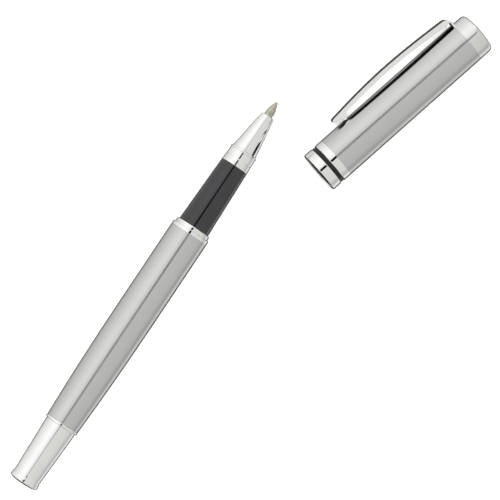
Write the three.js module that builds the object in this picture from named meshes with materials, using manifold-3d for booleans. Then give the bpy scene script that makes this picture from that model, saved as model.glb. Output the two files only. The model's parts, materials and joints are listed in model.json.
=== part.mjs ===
// An uncapped rollerball pen lying beside its cap. Millimetres, +Z up, the cap's axis along +X.
// Every turned piece is drawn as a profile of [x, r] points, x along the pen from the tail or along the
// cap from its mouth, r out from the axis.
import * as THREE from 'three';
import { mergeVertices } from 'three/addons/utils/BufferGeometryUtils.js';
import Module from 'manifold-3d';

const wasm = await Module();
wasm.setup();

// ---- fits
const FACETS = 20;              // flats round every turned piece
const FINE_FACETS = 12;         // flats round pieces thinner than 3 mm
const SEAM = 0.06;              // gap between pieces that butt end to end
const PRESS = 0.06;             // radial gap of a pressed or glued fit
const RUNNING = 0.16;           // radial gap of a piece that turns or slides in another
const CHAMFER = 0.15;
const MERGE = 1e-4;             // points nearer than this are one

// ---- how the two halves lie
const PEN_TURN = THREE.MathUtils.degToRad(14.68);
const PEN_TAIL_X = -113.09;     // the pen's tail rim, from the cap's mouth
const PEN_TAIL_Y = -9.33;

// ---- outside of the pen, tail to tip
const TAIL_DOME = 0.35;
const TAIL_FACE_R = 1.6;        // flat in the middle of the dome
const TAIL_SHOULDER = [0.55, 0.78];     // the dome's middle: shares of its height and of the lip's radius
const TAIL_EDGE = [0.12, 0.3];  // where the rounded edge of the lip begins and ends
const TAIL_LENGTH = 18;
const TAIL_LIP_R = 4.12;
const TAIL_LIP_LENGTH = 1.1;
const TAIL_WAIST_R = 3.88;
const TAIL_WAIST_AT = 1.75;     // where the lip has died out into the waist
const TAIL_FRONT_R = 4.48;
const TAIL_RING_R = 4.86;
const TAIL_RING_LENGTH = 0.75;
const BARREL_LENGTH = 60.06;
const BARREL_REAR_R = 4.78;
const BARREL_R = 5.5;
const BARREL_SWELL = 0.6;       // share of its length over which the barrel swells
const BARREL_SWELL_POWER = 2.1;
const BARREL_STATIONS = [0, 0.07, 0.16, 0.27, 0.4, 0.5, BARREL_SWELL, 1];    // where its outline has a point
const FRONT_RING_LENGTH = 2.25;
const FRONT_RING_STEP = 1.1;    // where the ring drops to its shoulder, on which the cap clicks
const FRONT_RING_SHOULDER_R = 5.04;
const FRONT_RING_EDGE = 0.35;
const GRIP_LENGTH = 19.4;
const GRIP_REAR_R = 4.5;
const GRIP_FRONT_R = 3.94;
const COLLAR_LENGTH = 4.05;
const COLLAR_REAR_R = 3.93;
const COLLAR_FRONT_R = 3.76;
const BEAD_LENGTH = 0.55;
const BEAD_R = 3.9;
const BEAD_CROWN = 0.1;         // how far the bead's middle stands above its sides
const CONE_LENGTH = 11.35;
const CONE_REAR_R = 3.52;
const CONE_FRONT_R = 1.94;
const CONE_EDGE = 0.3;
const CONE_SLOPE = 80;          // where the round edge meets the cone, degrees from its axis
const TIP_OUT = 4.4;            // how far the tip stands out of the cone
const TIP_R = 1.2;
const TIP_CYLINDER = 1.7;
const TIP_MOUTH_R = 0.38;
const BALL_R = 0.3;
const BALL_OUT = 0.18;          // how far the ball stands out of its cup
const BALL_GAP = 0.04;
const BALL_ROWS = 8;
const CUP_FUNNEL = [0.4, 0.6];  // behind the ball: the funnel's mouth, and where it ends, in cup radii
const TIP_BORE_BACK = 3;        // from the ball's middle back to the feed's bore, in ball radii
const FEED_BACK = 4;            // and to the end of the feed rod

// ---- inside of the pen
const WALL = 0.45;              // drawn metal tubes
const TAIL_END_WALL = 3.1;      // from the tail's rim to the floor of its bore
const SPIGOT_LENGTH = 7.5;
const SPIGOT_WALL = 0.42;
const INSERT_LENGTH = 14.5;
const INSERT_THREAD_LENGTH = 9;
const THREAD_WALL = 1.08;       // from the core's bore to its thread
const THREAD_LENGTH = 7.4;
const THREAD_RELIEF = 0.25;
const UNDERCUT_LENGTH = 0.8;    // groove behind the section's ring, where the thread runs out
const UNDERCUT_SLOPE = 0.2;
const CORE_WALL = 0.34;
const CONE_SPIGOT_LENGTH = 5;
const TIP_BORE_LENGTH = 9.8;    // from the refill's stop to the front of the cone
const TIP_SLIP = 0.23;
const REFILL_R = 3.0;
const REFILL_SLIP = 0.22;       // radial gap round the refill
const REFILL_WALL = 0.4;
const REFILL_STEP = 0.5;        // from the tube down to the plastic nose
const REFILL_NOSE_LENGTH = 8.2;
const REFILL_NOSE_FLANGE = 1;
const REFILL_NOSE_BEVEL = 0.4;
const REFILL_PLUG_FLANGE = 1.6;
const REFILL_SPIGOT = 4.5;
const TIP_SHANK_R = 0.95;
const TIP_SHANK_LENGTH = 3.2;
const FEED_R = 0.5;
const FEED_SLOT = 0.2;          // space round the feed rod
const RESERVOIR_GAP = 1;        // space at each end of the ink reservoir
const REFILL_PLAY = 0.1;        // from the refill's shoulder to its stop in the cone
const SPRING_LENGTH = 8.1;
const SPRING_INSET = 0.45;      // from the refill's outside to the spring's
const SPRING_WIRE_R = 0.25;
const SPRING_TURNS = 5;
const SPRING_STEPS = 12;        // straight steps in one turn of wire
const SPRING_SIDES = 6;
const SPRING_GAP = 0.12;

// ---- outside of the cap, mouth to crown
const CAP_R = 6.0;
const LIP_LENGTH = 2.62;
const BLACK_RING_LENGTH = 1.09;
const BLACK_RING_RECESS = 0.24; // how far the black ring lies below the cap's surface
const UPPER_RING_LENGTH = 2.16;
const CAP_TUBE_LENGTH = 46.32;
const CROWN_LENGTH = 4.4;
const CROWN_EDGE = 0.9;

// ---- inside of the cap
const CAP_WALL = 0.6;
const CLICK_SLIP = 0.18;        // radial gap round the front ring's shoulder when the cap is on
const GRIP_SLIP = 0.26;         // radial gap round the grip when the cap is on
const LIP_SOCKET_LENGTH = 0.95;
const BUSH_LENGTH = 12;
const BUSH_LEAD = 0.8;          // bevel that leads the grip in
const INNER_CAP_BORE_R = 4.4;
const INNER_CAP_NOSE_R = 3.3;   // bore round the pen's nose
const INNER_CAP_STRAIGHT = 12;
const INNER_CAP_END = 1.4;
const INNER_CAP_BEVEL = 1;
const SCREW_ROOM = 1.2;         // from the inner cap to the head of the crown's screw
const END_PLUG_LENGTH = 5.6;
const SCREW_R = 1.5;
const SCREW_HEAD_R = 2.8;
const SCREW_HEAD_LENGTH = 1.1;
const SCREW_IN_CROWN = 2.9;
const SCREW_END_ROOM = 0.4;     // between the screw's end and the floor of its hole
const CLIP_RING_THICKNESS = 0.62;
const CROWN_SKIRT = 1.04;       // wall of the crown round the clip's ring

// ---- clip, on the side of the cap that faces the pen
const CLIP_LEAN = THREE.MathUtils.degToRad(80);  // turned down from straight up
const CLIP_REACH = 41.5;        // from its root to its tip
const CLIP_ROOT_RISE = 2.6;     // outer face above the tube
const CLIP_ARCH_RISE = 3.55;
const CLIP_ARCH_AT = 0.51;      // share of the reach, from the root
const CLIP_TIP_RISE = 2.4;
const CLIP_THICKNESS = 1.15;
const CLIP_CORNER = 1.8;
const CLIP_LEG = 0.55;
const CLIP_LEG_STEP = 0.35;     // how far the leg's inner corner drops below the arm
const CLIP_ROOT_WIDTH = 4.0;
const CLIP_TIP_WIDTH = 3.2;
const CLIP_FOOT_FROM_TIP = 3.2;
const CLIP_FOOT_LENGTH = 2.7;
const CLIP_FOOT_FLAT = 0.5;
const CLIP_FOOT_GAP = 0.06;
const CLIP_SEAT_GAP = 0.25;     // from the clip's ring to the foot of its leg
const CLIP_STEPS = 12;
const CLIP_ARM_BARE = 3;        // steps of the arm's underside next to the leg that are left out
const NOTCH_CLEARANCE = 0.15;

// ---- stations along the pen
const tailFront = TAIL_LENGTH;
const tailRingAt = tailFront + SEAM;
const barrelAt = tailRingAt + TAIL_RING_LENGTH + SEAM;
const barrelFront = barrelAt + BARREL_LENGTH;
const frontRingAt = barrelFront + SEAM;
const gripAt = frontRingAt + FRONT_RING_LENGTH + SEAM;
const collarAt = gripAt + GRIP_LENGTH + SEAM;
const beadAt = collarAt + COLLAR_LENGTH + SEAM;
const coneAt = beadAt + BEAD_LENGTH + SEAM;
const coneFront = coneAt + CONE_LENGTH;
const tipFront = coneFront + TIP_OUT - BALL_OUT;
const coneStop = coneFront - TIP_BORE_LENGTH;
const refillShoulder = coneStop - REFILL_PLAY;
const refillNoseAt = refillShoulder - REFILL_NOSE_LENGTH;
const boreFloor = TAIL_END_WALL;
const refillRear = boreFloor + SPRING_LENGTH;
const refillTubeAt = refillRear + REFILL_PLUG_FLANGE + SEAM;
const coreRear = barrelFront - THREAD_LENGTH;

// ---- radii inside the pen
const refillBoreR = REFILL_R - REFILL_WALL;
const refillNoseR = REFILL_R - REFILL_STEP;
const refillSeatR = REFILL_R + REFILL_SLIP;     // bore of the tail, the insert's guide and the core
const spigotR = refillSeatR + SPIGOT_WALL;
const coreR = refillSeatR + CORE_WALL;
const threadR = refillSeatR + THREAD_WALL;
const springR = REFILL_R - SPRING_INSET - SPRING_WIRE_R;

// ---- stations along the cap
const blackRingAt = LIP_LENGTH + SEAM;
const upperRingAt = blackRingAt + BLACK_RING_LENGTH + SEAM;
const capTubeAt = upperRingAt + UPPER_RING_LENGTH + SEAM;
const capTubeEnd = capTubeAt + CAP_TUBE_LENGTH;
const crownAt = capTubeEnd + SEAM;
const crownEnd = crownAt + CROWN_LENGTH;
const bushAt = LIP_LENGTH - LIP_SOCKET_LENGTH + SEAM;
const innerCapAt = bushAt + BUSH_LENGTH + SEAM;
const endPlugAt = capTubeEnd - END_PLUG_LENGTH;
const screwHeadAt = endPlugAt - SEAM - SCREW_HEAD_LENGTH;
const innerCapEnd = screwHeadAt - SCREW_ROOM;

// ---- radii inside the cap
const capTubeBoreR = CAP_R - CAP_WALL;
const bushR = capTubeBoreR - PRESS;
const bushBoreR = GRIP_REAR_R + GRIP_SLIP;
const lipBoreR = FRONT_RING_SHOULDER_R + CLICK_SLIP;
const clipRingR = CAP_R - CROWN_SKIRT - PRESS;
const clipSeatR = clipRingR + CLIP_SEAT_GAP;

// ---- materials
function finish(color, roughness, metalness) {
  return new THREE.MeshStandardMaterial({ color, roughness, metalness });
}
const satinSteel = finish(0xb4b5b3, 0.38, 1);
const chrome = finish(0xe6e6e2, 0.08, 1);
const blackGloss = finish(0x17181b, 0.15, 0);
const brass = finish(0xb89a55, 0.35, 1);
const springSteel = finish(0x8d8f92, 0.3, 1);
const nickelSilver = finish(0xb7b08c, 0.28, 1);
const tungsten = finish(0x5c5d60, 0.2, 1);
const whitePlastic = finish(0xd9d9d4, 0.55, 0);
const greyPlastic = finish(0x4a4c50, 0.5, 0);
const inkFibre = finish(0x22252e, 0.9, 0);

// ---- shapes
// Turns a closed outline of [x, r] points, or one that starts and ends on the axis, about the X axis.
function turned(profile, facets = FACETS) {
  const loop = profile[0][1] > 0 ? [...profile, profile[0]] : profile;
  const points = loop.map(([x, r]) => new THREE.Vector2(r, x));
  return new THREE.LatheGeometry(points, facets).rotateZ(-Math.PI / 2);
}

// A tube between two stations: its outer points, then its inner points, both from tail to tip.
function sleeve(outer, inner, facets = FACETS) {
  return turned([...outer, ...[...inner].reverse()], facets);
}

// Points on a round edge, a quarter circle from angle a0 to a1 about [x, r].
function roundEdge(x, r, radius, a0, a1, steps = 3) {
  return Array.from({ length: steps + 1 }, (_, i) => {
    const a = THREE.MathUtils.degToRad(a0 + (a1 - a0) * i / steps);
    return [x + radius * Math.cos(a), r + radius * Math.sin(a)];
  });
}

function solidOf(geometry) {
  const bare = geometry.clone();
  bare.deleteAttribute('normal');
  bare.deleteAttribute('uv');
  const merged = mergeVertices(bare, MERGE);
  return new wasm.Manifold(new wasm.Mesh({
    numProp: 3,
    vertProperties: merged.attributes.position.array,
    triVerts: new Uint32Array(merged.index.array),
  }));
}

function geometryOf(solid) {
  const { vertProperties, triVerts } = solid.getMesh();
  return new THREE.BufferGeometry()
    .setAttribute('position', new THREE.BufferAttribute(vertProperties, 3))
    .setIndex(new THREE.BufferAttribute(triVerts, 1));
}

function piece(name, geometry, material) {
  const mesh = new THREE.Mesh(geometry, material);
  mesh.name = name;
  return mesh;
}

// ---- barrel
// Radius of the barrel's outside: a long swell that dies out a little past half way along.
function barrelRadius(share) {
  const swell = Math.min(share / BARREL_SWELL, 1);
  return BARREL_R - (BARREL_R - BARREL_REAR_R) * (1 - swell) ** BARREL_SWELL_POWER;
}

function barrelTube() {
  const outer = BARREL_STATIONS.map((share) => [barrelAt + share * BARREL_LENGTH, barrelRadius(share)]);
  const inner = outer.map(([x, r]) => [x, r - WALL]);
  return piece('barrel_tube', sleeve(outer, inner), satinSteel);
}

// The chrome tail: a domed end, a lip, and a flared wall, on a spigot that carries the ring and the barrel.
function tailSleeve() {
  const spigotFront = tailFront + SPIGOT_LENGTH;
  const [shoulderUp, shoulderOut] = TAIL_SHOULDER;
  const [edgeAt, lipAt] = TAIL_EDGE;
  const outline = [
    [-TAIL_DOME, 0],
    [-TAIL_DOME, TAIL_FACE_R],
    [-TAIL_DOME * shoulderUp, TAIL_LIP_R * shoulderOut],
    [edgeAt, TAIL_LIP_R - CHAMFER],
    [lipAt, TAIL_LIP_R],
    [TAIL_LIP_LENGTH, TAIL_LIP_R],
    [TAIL_WAIST_AT, TAIL_WAIST_R],
    [tailFront, TAIL_FRONT_R],
    [tailFront, spigotR],
    [spigotFront, spigotR],
    [spigotFront, refillSeatR],
    [boreFloor, refillSeatR],
    [boreFloor, 0],
  ];
  return piece('tail_sleeve', turned(outline), chrome);
}

function tailRing() {
  const inner = spigotR + PRESS;
  const end = tailRingAt + TAIL_RING_LENGTH;
  const shape = sleeve(
    [[tailRingAt, TAIL_RING_R - CHAMFER], [tailRingAt + CHAMFER, TAIL_RING_R],
      [end - CHAMFER, TAIL_RING_R], [end, TAIL_RING_R - CHAMFER]],
    [[tailRingAt, inner], [end, inner]],
  );
  return piece('tail_ring', shape, chrome);
}

// Brass bush that fills the space between the tail's spigot and the barrel tube.
function rearBush() {
  const start = barrelAt + SEAM;
  const end = tailFront + SPIGOT_LENGTH - SEAM;
  const inner = spigotR + PRESS;
  const outer = BARREL_REAR_R - WALL - PRESS;
  return piece('rear_bush', sleeve([[start, outer], [end, outer]], [[start, inner], [end, inner]]), brass);
}

// Threaded brass insert in the barrel's mouth: a guide for the refill behind, a wide thread in front.
function barrelInsert() {
  const end = barrelFront - SEAM;
  const start = end - INSERT_LENGTH;
  const step = end - INSERT_THREAD_LENGTH;
  const outer = BARREL_R - WALL - PRESS;
  const thread = threadR + RUNNING;
  const shape = sleeve(
    [[start, outer], [end, outer]],
    [[start, refillSeatR], [step, refillSeatR], [step, thread], [end, thread]],
  );
  return piece('barrel_insert', shape, brass);
}

class Helix extends THREE.Curve {
  constructor(start, end, radius, turns) {
    super();
    Object.assign(this, { start, end, radius, turns });
  }

  getPoint(t, target = new THREE.Vector3()) {
    const a = 2 * Math.PI * this.turns * t;
    const x = this.start + (this.end - this.start) * t;
    return target.set(x, this.radius * Math.cos(a), this.radius * Math.sin(a));
  }
}

// Compression spring between the tail's floor and the refill's plug.
function refillSpring() {
  const wire = new THREE.Shape();
  for (let i = 0; i < SPRING_SIDES; i += 1) {
    const a = 2 * Math.PI * i / SPRING_SIDES;
    const [x, y] = [SPRING_WIRE_R * Math.cos(a), SPRING_WIRE_R * Math.sin(a)];
    if (i === 0) wire.moveTo(x, y);
    else wire.lineTo(x, y);
  }
  const room = SPRING_WIRE_R + SPRING_GAP;
  const path = new Helix(boreFloor + room, refillRear - room, springR, SPRING_TURNS);
  const shape = new THREE.ExtrudeGeometry(wire, {
    steps: SPRING_TURNS * SPRING_STEPS, curveSegments: 1, extrudePath: path,
  });
  return piece('refill_spring', shape, springSteel);
}

// ---- section
function frontRing() {
  const inner = threadR + RUNNING;
  const step = frontRingAt + FRONT_RING_STEP;
  const end = frontRingAt + FRONT_RING_LENGTH;
  const edge = FRONT_RING_EDGE;
  const shape = sleeve(
    [[frontRingAt, BARREL_R], [step - CHAMFER, BARREL_R], [step, BARREL_R - CHAMFER],
      [step, FRONT_RING_SHOULDER_R],
      ...roundEdge(end - edge, FRONT_RING_SHOULDER_R - edge, edge, 90, 0)],
    [[frontRingAt, inner], [end, inner]],
  );
  return piece('front_ring', shape, chrome);
}

// Brass tube of the section: male thread and shoulder behind, a thin sleeve under the grip and collar.
function sectionCore() {
  const shoulder = gripAt - SEAM;
  const front = coneAt - SEAM;
  const undercut = threadR - THREAD_RELIEF;
  const groove = barrelFront - UNDERCUT_LENGTH;
  const shape = sleeve(
    [[coreRear, undercut], [coreRear + THREAD_RELIEF, threadR], [groove - UNDERCUT_SLOPE, threadR],
      [groove, undercut], [barrelFront, undercut], [barrelFront + UNDERCUT_SLOPE, threadR],
      [shoulder, threadR], [shoulder, coreR], [front, coreR]],
    [[coreRear, refillSeatR], [front, refillSeatR]],
  );
  return piece('section_core', shape, brass);
}

// A tapered sleeve glued on the section's core.
function onCore(name, start, length, rearR, frontR, material) {
  const inner = coreR + PRESS;
  const end = start + length;
  const shape = sleeve([[start, rearR], [end, frontR]], [[start, inner], [end, inner]]);
  return piece(name, shape, material);
}

function noseBead() {
  const inner = coreR + PRESS;
  const end = beadAt + BEAD_LENGTH;
  const middle = beadAt + BEAD_LENGTH / 2;
  const side = BEAD_R - BEAD_CROWN;
  const shape = sleeve([[beadAt, side], [middle, BEAD_R], [end, side]], [[beadAt, inner], [end, inner]]);
  return piece('nose_bead', shape, chrome);
}

// Chrome nose with a spigot that goes back into the core, and a step that stops the refill.
function noseCone() {
  const plugR = refillSeatR - PRESS;
  const rear = coneAt - CONE_SPIGOT_LENGTH;
  const wide = refillNoseR + REFILL_SLIP;
  const narrow = TIP_R + TIP_SLIP;
  const shape = sleeve(
    [[rear, plugR], [coneAt, plugR], [coneAt, CONE_REAR_R],
      ...roundEdge(coneFront - CONE_EDGE, CONE_FRONT_R - CONE_EDGE, CONE_EDGE, CONE_SLOPE, 0)],
    [[rear, wide], [coneStop, wide], [coneStop, narrow], [coneFront, narrow]],
  );
  return piece('nose_cone', shape, chrome);
}

// ---- refill
function refillTube() {
  const end = refillNoseAt - SEAM;
  const shape = sleeve(
    [[refillTubeAt, REFILL_R], [end, REFILL_R]],
    [[refillTubeAt, refillBoreR], [end, refillBoreR]],
  );
  return piece('refill_tube', shape, whitePlastic);
}

function refillPlug() {
  const flange = refillRear + REFILL_PLUG_FLANGE;
  const plugR = refillBoreR - PRESS;
  const front = flange + REFILL_SPIGOT / 2;
  const shape = turned([
    [refillRear, 0], [refillRear, REFILL_R - CHAMFER], [refillRear + CHAMFER, REFILL_R],
    [flange, REFILL_R], [flange, plugR], [front, plugR], [front, 0],
  ]);
  return piece('refill_plug', shape, greyPlastic);
}

function inkReservoir() {
  const start = refillTubeAt + REFILL_SPIGOT / 2 + RESERVOIR_GAP;
  const end = refillNoseAt - REFILL_SPIGOT - RESERVOIR_GAP;
  const r = refillBoreR - 2 * PRESS;
  return piece('ink_reservoir', turned([[start, 0], [start, r], [end, r], [end, 0]]), inkFibre);
}

// Plastic nose that closes the tube in front and holds the metal tip.
function refillNose() {
  const rear = refillNoseAt - REFILL_SPIGOT;
  const flange = refillNoseAt + REFILL_NOSE_FLANGE;
  const plugR = refillBoreR - PRESS;
  const feedBore = FEED_R + FEED_SLOT;
  const seat = refillShoulder - TIP_SHANK_LENGTH;
  const bevel = REFILL_NOSE_BEVEL;
  const shape = sleeve(
    [[rear, plugR], [refillNoseAt, plugR], [refillNoseAt, REFILL_R], [flange, REFILL_R],
      [flange + REFILL_STEP, refillNoseR], [refillShoulder - bevel, refillNoseR],
      [refillShoulder, refillNoseR - bevel]],
    [[rear, feedBore], [seat, feedBore], [seat, TIP_SHANK_R + PRESS],
      [refillShoulder, TIP_SHANK_R + PRESS]],
  );
  return piece('refill_nose', shape, greyPlastic);
}

// Nickel silver tip: a shank in the plastic nose, a cylinder, a cone, and a cup for the ball.
function refillTip() {
  const start = refillShoulder - TIP_SHANK_LENGTH + SEAM;
  const body = refillShoulder + SEAM;
  const coneRear = coneFront + TIP_CYLINDER;
  const bore = FEED_R + FEED_SLOT / 2;
  const cup = BALL_R + BALL_GAP;
  const ballAt = tipFront + BALL_OUT - BALL_R;
  const boreFront = ballAt - TIP_BORE_BACK * BALL_R;
  const [funnelR, funnelEnd] = CUP_FUNNEL;
  const lip = Math.sqrt(cup ** 2 - (tipFront - ballAt) ** 2);
  const shape = sleeve(
    [[start, TIP_SHANK_R], [body, TIP_SHANK_R], [body, TIP_R], [coneRear, TIP_R], [tipFront, TIP_MOUTH_R]],
    [[start, bore], [boreFront, bore], [ballAt - cup, cup * funnelR], [ballAt - cup * funnelEnd, cup],
      [ballAt, cup], [tipFront, lip + BALL_GAP / 2]],
    FINE_FACETS,
  );
  return piece('refill_tip', shape, nickelSilver);
}

function feedRod() {
  const ballAt = tipFront + BALL_OUT - BALL_R;
  const end = ballAt - FEED_BACK * BALL_R;
  const start = refillNoseAt - REFILL_SPIGOT - RESERVOIR_GAP + SEAM;
  const shape = turned([[start, 0], [start, FEED_R], [end, FEED_R], [end, 0]], FINE_FACETS);
  return piece('feed_rod', shape, inkFibre);
}

function writingBall() {
  const ball = new THREE.SphereGeometry(BALL_R, FINE_FACETS, BALL_ROWS).rotateZ(-Math.PI / 2);
  ball.translate(tipFront + BALL_OUT - BALL_R, 0, 0);
  return piece('writing_ball', ball, tungsten);
}

// ---- cap
function lipRing() {
  const socket = LIP_LENGTH - LIP_SOCKET_LENGTH;
  const socketR = bushR + PRESS;
  const shape = sleeve(
    [[0, CAP_R - CHAMFER], [CHAMFER, CAP_R], [LIP_LENGTH - CHAMFER, CAP_R], [LIP_LENGTH, CAP_R - CHAMFER]],
    [[0, lipBoreR + CHAMFER], [CHAMFER, lipBoreR], [socket, lipBoreR], [socket, socketR],
      [LIP_LENGTH, socketR]],
  );
  return piece('lip_ring', shape, chrome);
}

// A plain ring threaded on the mouth bush.
function onBush(name, start, length, radius, chamfer, material) {
  const end = start + length;
  const inner = bushR + PRESS;
  const shape = sleeve(
    [[start, radius - chamfer], [start + chamfer, radius], [end, radius]],
    [[start, inner], [end, inner]],
  );
  return piece(name, shape, material);
}

function mouthBush() {
  const end = bushAt + BUSH_LENGTH;
  const shape = sleeve(
    [[bushAt, bushR], [end, bushR]],
    [[bushAt, bushBoreR + CHAMFER], [bushAt + BUSH_LEAD, bushBoreR], [end, bushBoreR]],
  );
  return piece('mouth_bush', shape, greyPlastic);
}

function capTube() {
  const shape = sleeve(
    [[capTubeAt, CAP_R], [capTubeEnd, CAP_R]],
    [[capTubeAt, capTubeBoreR], [capTubeEnd, capTubeBoreR]],
  );
  return piece('cap_tube', shape, satinSteel);
}

// Plastic inner cap that closes over the nose and keeps the tip from drying out.
function innerCap() {
  const straight = innerCapAt + INNER_CAP_STRAIGHT;
  const floor = innerCapEnd - INNER_CAP_END;
  const bevel = INNER_CAP_BEVEL;
  return piece('inner_cap', turned([
    [floor, 0], [floor, INNER_CAP_NOSE_R], [straight, INNER_CAP_BORE_R], [innerCapAt, INNER_CAP_BORE_R],
    [innerCapAt, bushR], [innerCapEnd - bevel, bushR], [innerCapEnd, bushR - bevel],
    [innerCapEnd, 0],
  ]), greyPlastic);
}

function endPlug() {
  const outer = capTubeBoreR - PRESS;
  const hole = SCREW_R + PRESS;
  return piece('end_plug', sleeve(
    [[endPlugAt, outer], [capTubeEnd, outer]],
    [[endPlugAt, hole], [capTubeEnd, hole]],
  ), brass);
}

function crownScrew() {
  const headFront = screwHeadAt + SCREW_HEAD_LENGTH;
  const end = crownAt + CLIP_RING_THICKNESS + SCREW_IN_CROWN;
  return piece('crown_screw', turned([
    [screwHeadAt, 0], [screwHeadAt, SCREW_HEAD_R], [headFront, SCREW_HEAD_R], [headFront, SCREW_R],
    [end, SCREW_R], [end, 0],
  ]), springSteel);
}

function clipRing() {
  const end = crownAt + CLIP_RING_THICKNESS;
  const hole = SCREW_R + PRESS;
  return piece('clip_ring', sleeve(
    [[crownAt, clipRingR], [end, clipRingR]],
    [[crownAt, hole], [end, hole]],
  ), chrome);
}

// The clip's own axes: x along the cap, y across the clip, z straight out from the cap's axis.
const clipTurn = new THREE.Euler(-CLIP_LEAN, 0, 0);

// Chrome end of the cap, with a recess for the clip's ring and a notch in its skirt for the clip's leg.
function crown() {
  const recess = crownAt + CLIP_RING_THICKNESS + SEAM;
  const screwEnd = recess + SCREW_IN_CROWN + SCREW_END_ROOM;
  const hole = SCREW_R + PRESS;
  const body = turned([
    [screwEnd, 0], [screwEnd, hole], [recess, hole],
    [recess, clipRingR + PRESS], [crownAt, clipRingR + PRESS], [crownAt, CAP_R],
    ...roundEdge(crownEnd - CROWN_EDGE, CAP_R - CROWN_EDGE, CROWN_EDGE, 90, 0),
    [crownEnd, 0],
  ]);
  const width = CLIP_ROOT_WIDTH + 2 * NOTCH_CLEARANCE;
  const depth = CLIP_LEG + 2 * NOTCH_CLEARANCE;
  const notch = new THREE.BoxGeometry(2 * depth, width, CAP_R);
  notch.translate(crownAt, 0, clipRingR - PRESS + CAP_R / 2);
  notch.applyMatrix4(new THREE.Matrix4().makeRotationFromEuler(clipTurn));
  return piece('crown', geometryOf(solidOf(body).subtract(solidOf(notch))), chrome);
}

// Height of the clip's outer face above the tube, at a share of the way from root to tip.
function clipRise(share) {
  const [a, b, c] = [CLIP_ROOT_RISE, CLIP_ARCH_RISE, CLIP_TIP_RISE];
  const up = share < CLIP_ARCH_AT;
  const s = up ? share / CLIP_ARCH_AT : (share - CLIP_ARCH_AT) / (1 - CLIP_ARCH_AT);
  return up ? a + (b - a) * Math.sin(s * Math.PI / 2) : b + (c - b) * (1 - Math.cos(s * Math.PI / 2));
}

// Side outline of the clip, [x, height above the tube], extruded across and tapered in plan.
function clip() {
  const back = crownAt + CLIP_LEG;
  const tip = back - CLIP_REACH;
  const outline = [[crownAt, clipSeatR - CAP_R], [back, clipSeatR - CAP_R]];
  outline.push(...roundEdge(back - CLIP_CORNER, CLIP_ROOT_RISE - CLIP_CORNER, CLIP_CORNER, 0, 90, 4));
  const shares = Array.from({ length: CLIP_STEPS }, (_, i) => (i + 1) / CLIP_STEPS);
  const arm = back - CLIP_CORNER;
  const reach = arm - tip - CLIP_THICKNESS / 2;
  outline.push(...shares.map((s) => [arm - s * reach, clipRise(s)]));
  outline.push(...roundEdge(
    tip + CLIP_THICKNESS / 2, CLIP_TIP_RISE - CLIP_THICKNESS / 2, CLIP_THICKNESS / 2, 120, 270,
  ));
  const under = (x) => clipRise((arm - x) / reach) - CLIP_THICKNESS;
  const footAt = tip + CLIP_FOOT_FROM_TIP;
  const [footRear, footFront] = [footAt - CLIP_FOOT_LENGTH / 2, footAt + CLIP_FOOT_LENGTH / 2];
  outline.push([footRear, under(footRear)], [footAt - CLIP_FOOT_FLAT / 2, CLIP_FOOT_GAP]);
  outline.push([footAt + CLIP_FOOT_FLAT / 2, CLIP_FOOT_GAP], [footFront, under(footFront)]);
  const below = shares.slice(CLIP_ARM_BARE, -1).reverse();
  outline.push(...below.map((s) => [arm - s * reach, clipRise(s) - CLIP_THICKNESS]));
  outline.push([crownAt, CLIP_ROOT_RISE - CLIP_THICKNESS - CLIP_LEG_STEP]);
  const side = new THREE.Shape(outline.map(([x, h]) => new THREE.Vector2(x, CAP_R + h)));
  const bar = new THREE.ExtrudeGeometry(side, { depth: 1, bevelEnabled: false });
  bar.translate(0, 0, -0.5).rotateX(Math.PI / 2);
  const at = bar.attributes.position;
  for (let i = 0; i < at.count; i += 1) {
    const share = THREE.MathUtils.clamp((back - at.getX(i)) / CLIP_REACH, 0, 1);
    at.setY(i, at.getY(i) * THREE.MathUtils.lerp(CLIP_ROOT_WIDTH, CLIP_TIP_WIDTH, share));
  }
  bar.applyMatrix4(new THREE.Matrix4().makeRotationFromEuler(clipTurn));
  return piece('clip', bar, chrome);
}

// ---- the set
const pen = new THREE.Group();
pen.add(
  barrelTube(), tailSleeve(), tailRing(), rearBush(), barrelInsert(), refillSpring(),
  frontRing(), sectionCore(),
  onCore('grip_sleeve', gripAt, GRIP_LENGTH, GRIP_REAR_R, GRIP_FRONT_R, blackGloss),
  onCore('nose_collar', collarAt, COLLAR_LENGTH, COLLAR_REAR_R, COLLAR_FRONT_R, chrome),
  noseBead(), noseCone(),
  refillTube(), refillPlug(), inkReservoir(), refillNose(), feedRod(), refillTip(), writingBall(),
);
pen.position.set(PEN_TAIL_X, PEN_TAIL_Y, BARREL_R);
pen.rotation.z = PEN_TURN;

const cap = new THREE.Group();
cap.add(
  lipRing(),
  onBush('black_ring', blackRingAt, BLACK_RING_LENGTH, CAP_R - BLACK_RING_RECESS, 0, blackGloss),
  onBush('upper_ring', upperRingAt, UPPER_RING_LENGTH, CAP_R, CHAMFER, chrome),
  mouthBush(), capTube(), innerCap(), endPlug(), crownScrew(), clipRing(), crown(), clip(),
);
cap.position.z = CAP_R;

const penSet = new THREE.Group();
penSet.add(pen, cap);
const bounds = new THREE.Box3().setFromObject(penSet, true);
const middle = bounds.getCenter(new THREE.Vector3());
penSet.position.set(-middle.x, -middle.y, -bounds.min.z);

export default penSet;
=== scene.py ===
"""An uncapped rollerball pen lying beside its cap on a plain pale floor, in soft studio light.

Nearly every piece of a pen is turned. Each one takes its outline from its CAD node, gets eased
edges and fine detail, and is swept round its axis. Its mesh carries what the materials read: the
attribute "turned", a point's own place along, beside and above the axis; the attribute "rim", how
near it is to an edge; and the UV map "round", which is unrolled from the axis. The clip also has
the attribute "under", for the side of it that faces the cap, where its colour is painted dark as
shade. Metres throughout.
"""
import json
import math

import bpy
import numpy as np
from mathutils import Matrix, Vector

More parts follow.
